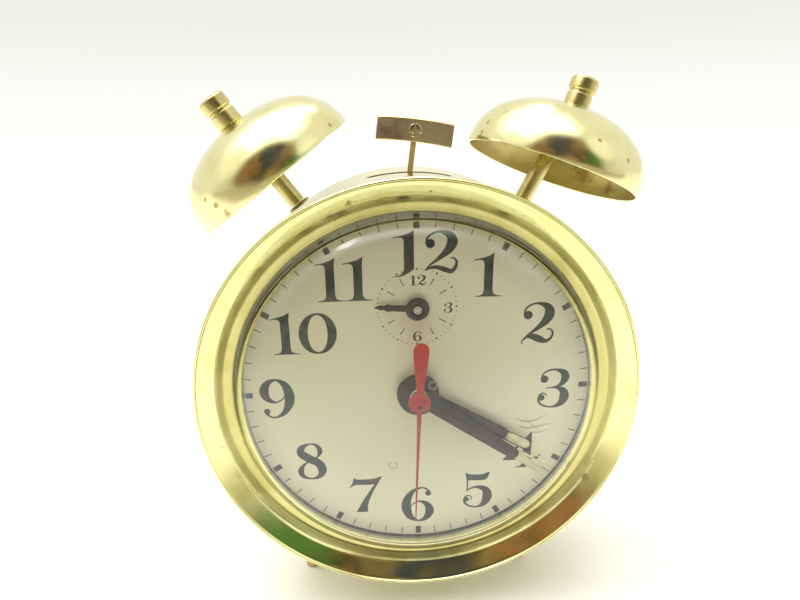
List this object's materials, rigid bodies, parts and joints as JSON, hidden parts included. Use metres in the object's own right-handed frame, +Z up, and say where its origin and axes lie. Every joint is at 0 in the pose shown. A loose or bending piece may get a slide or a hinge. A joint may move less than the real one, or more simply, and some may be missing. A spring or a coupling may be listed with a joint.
{
  "type": "twin-bell alarm clock",
  "caption": "Key-wound twin-bell alarm clock: polished brass drum on short feet, domed crystal over a numeral dial, and a hammer between two bells on posts.",
  "frame": {"origin": "under the middle of the overall box, on the surface that the feet stand on", "axes": "+Z up, +Y towards the back of the clock, +X to the right of someone reading the dial, which faces -Y"},
  "size_m": [0.1251, 0.0692, 0.1454],
  "materials": {
    "polished_brass": "polished, lightly scratched and tarnished",
    "aged_brass": "dulled brass with dark toning in the corners",
    "gear_brass": "plain machined brass",
    "steel": "plain turned and stamped steel",
    "spring_steel": "blued spring steel",
    "dial_paint": "matt silvery cream paint with printed dark numerals",
    "hand_black": "dark lacquer, cream luminous paint in the tips",
    "hand_red": "red lacquer",
    "crystal_glass": "clear domed crystal"
  },
  "bodies": {
    "case": {"case_drum": "polished_brass", "bezel": "polished_brass", "crystal": "crystal_glass", "dial": "dial_paint", "back_cover": "polished_brass", "cover_screw_1": "steel", "cover_screw_2": "steel", "cover_screw_3": "steel", "cover_screw_4": "steel", "pillar_1": "gear_brass", "pillar_2": "gear_brass", "pillar_3": "gear_brass", "pillar_4": "gear_brass", "front_plate": "steel", "back_plate": "steel", "bell_left": "polished_brass", "bell_right": "polished_brass", "bell_nut_left": "aged_brass", "bell_nut_right": "aged_brass", "bell_post_left": "aged_brass", "bell_post_right": "aged_brass", "post_washer_left": "aged_brass", "post_washer_right": "aged_brass", "foot_left": "aged_brass", "foot_right": "aged_brass", "foot_rear": "aged_brass"},
    "hammer": {"hammer_arbor": "steel", "hammer_rod": "aged_brass", "hammer_head": "aged_brass", "hammer_screw": "aged_brass"},
    "seconds": {"fourth_wheel": "gear_brass", "second_hand": "hand_red"},
    "third": {"third_wheel": "gear_brass"},
    "center": {"center_wheel": "gear_brass"},
    "time_barrel": {"time_great_wheel": "gear_brass"},
    "escape": {"escape_wheel": "gear_brass"},
    "minutes": {"cannon_pinion": "steel", "minute_hand": "hand_black"},
    "time_setting": {"minute_wheel": "gear_brass", "time_set_knob": "aged_brass"},
    "hours": {"hour_wheel": "gear_brass", "hour_hand": "hand_black"},
    "alarm_release": {"alarm_wheel": "gear_brass"},
    "alarm_setting": {"alarm_set_arbor": "steel", "alarm_hand": "hand_black", "alarm_set_knob": "aged_brass"},
    "time_winder": {"time_winding_arbor": "steel", "time_key": "aged_brass", "time_mainspring": "spring_steel"},
    "alarm_winder": {"alarm_winding_arbor": "steel", "alarm_key": "aged_brass", "alarm_mainspring": "spring_steel"},
    "alarm_barrel": {"alarm_great_wheel": "gear_brass"},
    "alarm_escape": {"alarm_escape_wheel": "gear_brass"},
    "balance": {"balance_wheel": "gear_brass", "hairspring": "spring_steel"},
    "pallets": {"pallet_lever": "steel"},
    "regulator": {"regulator_lever": "steel"},
    "shutoff": {"alarm_shutoff": "aged_brass"}
  },
  "joints": [
    {"name": "hammer_swing", "type": "hinge", "parent": "case", "child": "hammer", "pos_m": [-0.0057, -0.021, 0.0915], "axis": [0, 1, 0], "range_deg": [-9.8, 5.5]},
    {"name": "seconds_turn", "type": "hinge", "parent": "case", "child": "seconds", "pos_m": [-0.0021, -0.021, 0.0655], "axis": [0, 1, 0], "continuous": true},
    {"name": "third_wheel_turn", "type": "hinge", "parent": "case", "child": "third", "pos_m": [0.01005, -0.021, 0.0655], "axis": [0, 1, 0], "continuous": true},
    {"name": "center_wheel_turn", "type": "hinge", "parent": "case", "child": "center", "pos_m": [-0.0021, -0.021, 0.0655], "axis": [0, 1, 0], "continuous": true},
    {"name": "time_barrel_turn", "type": "hinge", "parent": "case", "child": "time_barrel", "pos_m": [-0.01979, -0.021, 0.05311], "axis": [0, 1, 0], "continuous": true},
    {"name": "escape_wheel_turn", "type": "hinge", "parent": "case", "child": "escape", "pos_m": [-0.00817, -0.021, 0.07602], "axis": [0, 1, 0], "continuous": true},
    {"name": "minutes_turn", "type": "hinge", "parent": "case", "child": "minutes", "pos_m": [-0.0021, -0.021, 0.0655], "axis": [0, 1, 0], "continuous": true},
    {"name": "time_set_turn", "type": "hinge", "parent": "case", "child": "time_setting", "pos_m": [0.00243, -0.021, 0.07715], "axis": [0, 1, 0], "continuous": true},
    {"name": "hours_turn", "type": "hinge", "parent": "case", "child": "hours", "pos_m": [-0.0021, -0.021, 0.0655], "axis": [0, 1, 0], "continuous": true},
    {"name": "alarm_release_turn", "type": "hinge", "parent": "case", "child": "alarm_release", "pos_m": [-0.0021, -0.021, 0.0888], "axis": [0, 1, 0], "continuous": true},
    {"name": "alarm_set_turn", "type": "hinge", "parent": "case", "child": "alarm_setting", "pos_m": [-0.0021, -0.021, 0.0888], "axis": [0, 1, 0], "continuous": true},
    {"name": "time_winding", "type": "hinge", "parent": "case", "child": "time_winder", "pos_m": [-0.01979, -0.021, 0.05311], "axis": [0, 1, 0], "continuous": true, "deforming": ["time_mainspring"]},
    {"name": "alarm_winding", "type": "hinge", "parent": "case", "child": "alarm_winder", "pos_m": [0.0219, -0.021, 0.0795], "axis": [0, 1, 0], "continuous": true, "deforming": ["alarm_mainspring"]},
    {"name": "alarm_barrel_turn", "type": "hinge", "parent": "case", "child": "alarm_barrel", "pos_m": [0.0219, -0.021, 0.0795], "axis": [0, 1, 0], "continuous": true},
    {"name": "alarm_escape_turn", "type": "hinge", "parent": "case", "child": "alarm_escape", "pos_m": [0.0093, -0.021, 0.09061], "axis": [0, 1, 0], "continuous": true},
    {"name": "balance_swing", "type": "hinge", "parent": "case", "child": "balance", "pos_m": [-0.0255, -0.021, 0.086], "axis": [0, 1, 0], "range_deg": [-220, 220], "stiffness_Nm_per_rad": 0.000025, "deforming": ["hairspring"]},
    {"name": "pallet_rock", "type": "hinge", "parent": "case", "child": "pallets", "pos_m": [-0.016, -0.021, 0.0805], "axis": [0, 1, 0], "range_deg": [-6, 6]},
    {"name": "regulator_swing", "type": "hinge", "parent": "case", "child": "regulator", "pos_m": [-0.0255, -0.021, 0.086], "axis": [0, 1, 0], "range_deg": [-15, 15]},
    {"name": "shutoff_slide", "type": "slide", "parent": "case", "child": "shutoff", "axis": [1, 0, 0], "range_m": [0, 0.006]}
  ],
  "couplings": [
    {"joint": "third_wheel_turn", "follows": "seconds_turn", "ratio": -0.13333},
    {"joint": "center_wheel_turn", "follows": "seconds_turn", "ratio": 0.016667},
    {"joint": "time_barrel_turn", "follows": "seconds_turn", "ratio": -0.0033333},
    {"joint": "escape_wheel_turn", "follows": "seconds_turn", "ratio": -8},
    {"joint": "time_set_turn", "follows": "minutes_turn", "ratio": -0.33333},
    {"joint": "hours_turn", "follows": "minutes_turn", "ratio": 0.083333},
    {"joint": "alarm_release_turn", "follows": "minutes_turn", "ratio": 0.083333},
    {"joint": "alarm_escape_turn", "follows": "alarm_barrel_turn", "ratio": -6}
  ]
}
